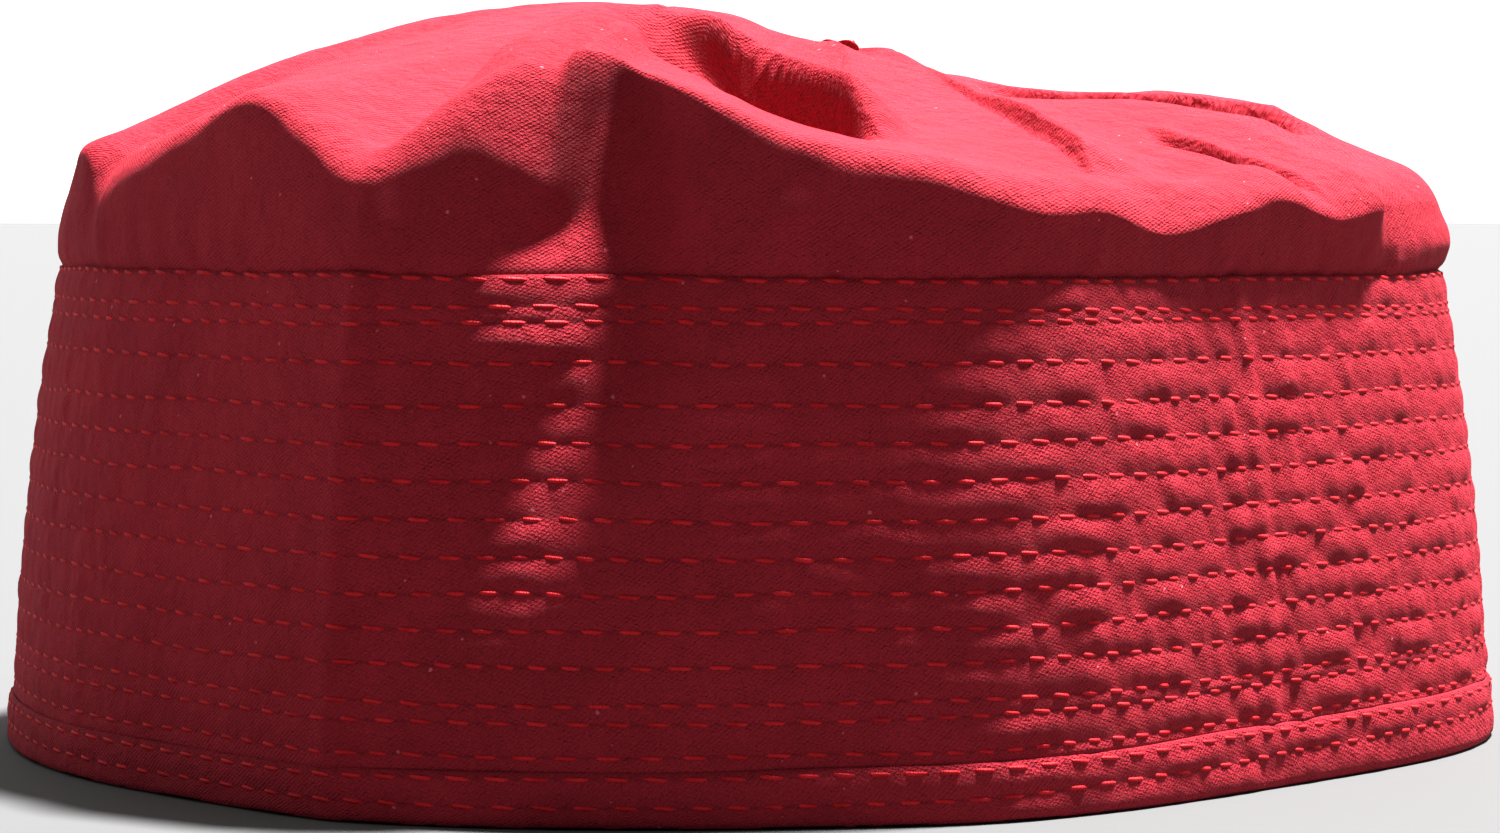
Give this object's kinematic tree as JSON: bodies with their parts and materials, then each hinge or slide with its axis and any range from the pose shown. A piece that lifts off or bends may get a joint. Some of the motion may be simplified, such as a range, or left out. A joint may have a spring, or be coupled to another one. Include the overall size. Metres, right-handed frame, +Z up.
{
  "type": "kufi",
  "caption": "Soft red cotton kufi cap with a stiff topstitched band, a bound lower edge and a slack three-gore crown meeting in a small twisted knot.",
  "frame": {"origin": "middle of the flat rim that the cap rests on", "axes": "+Z up out of the crown, front of the cap towards -Y, +X to the viewer's right"},
  "size_m": [0.1903, 0.1904, 0.0927],
  "materials": {
    "crown_cotton": "fine cotton twill with a soft sheen, slack and lightly creased",
    "band_cotton": "cotton twill over a stiffener, quilted by rows of topstitching",
    "hem_cotton": "folded strip of cotton twill, stitched down"
  },
  "bodies": {
    "root": {"band": "band_cotton", "hem": "hem_cotton", "crown_gore_front": "crown_cotton", "crown_gore_right": "crown_cotton", "crown_gore_left": "crown_cotton", "crown_knot": "crown_cotton"}
  },
  "joints": []
}
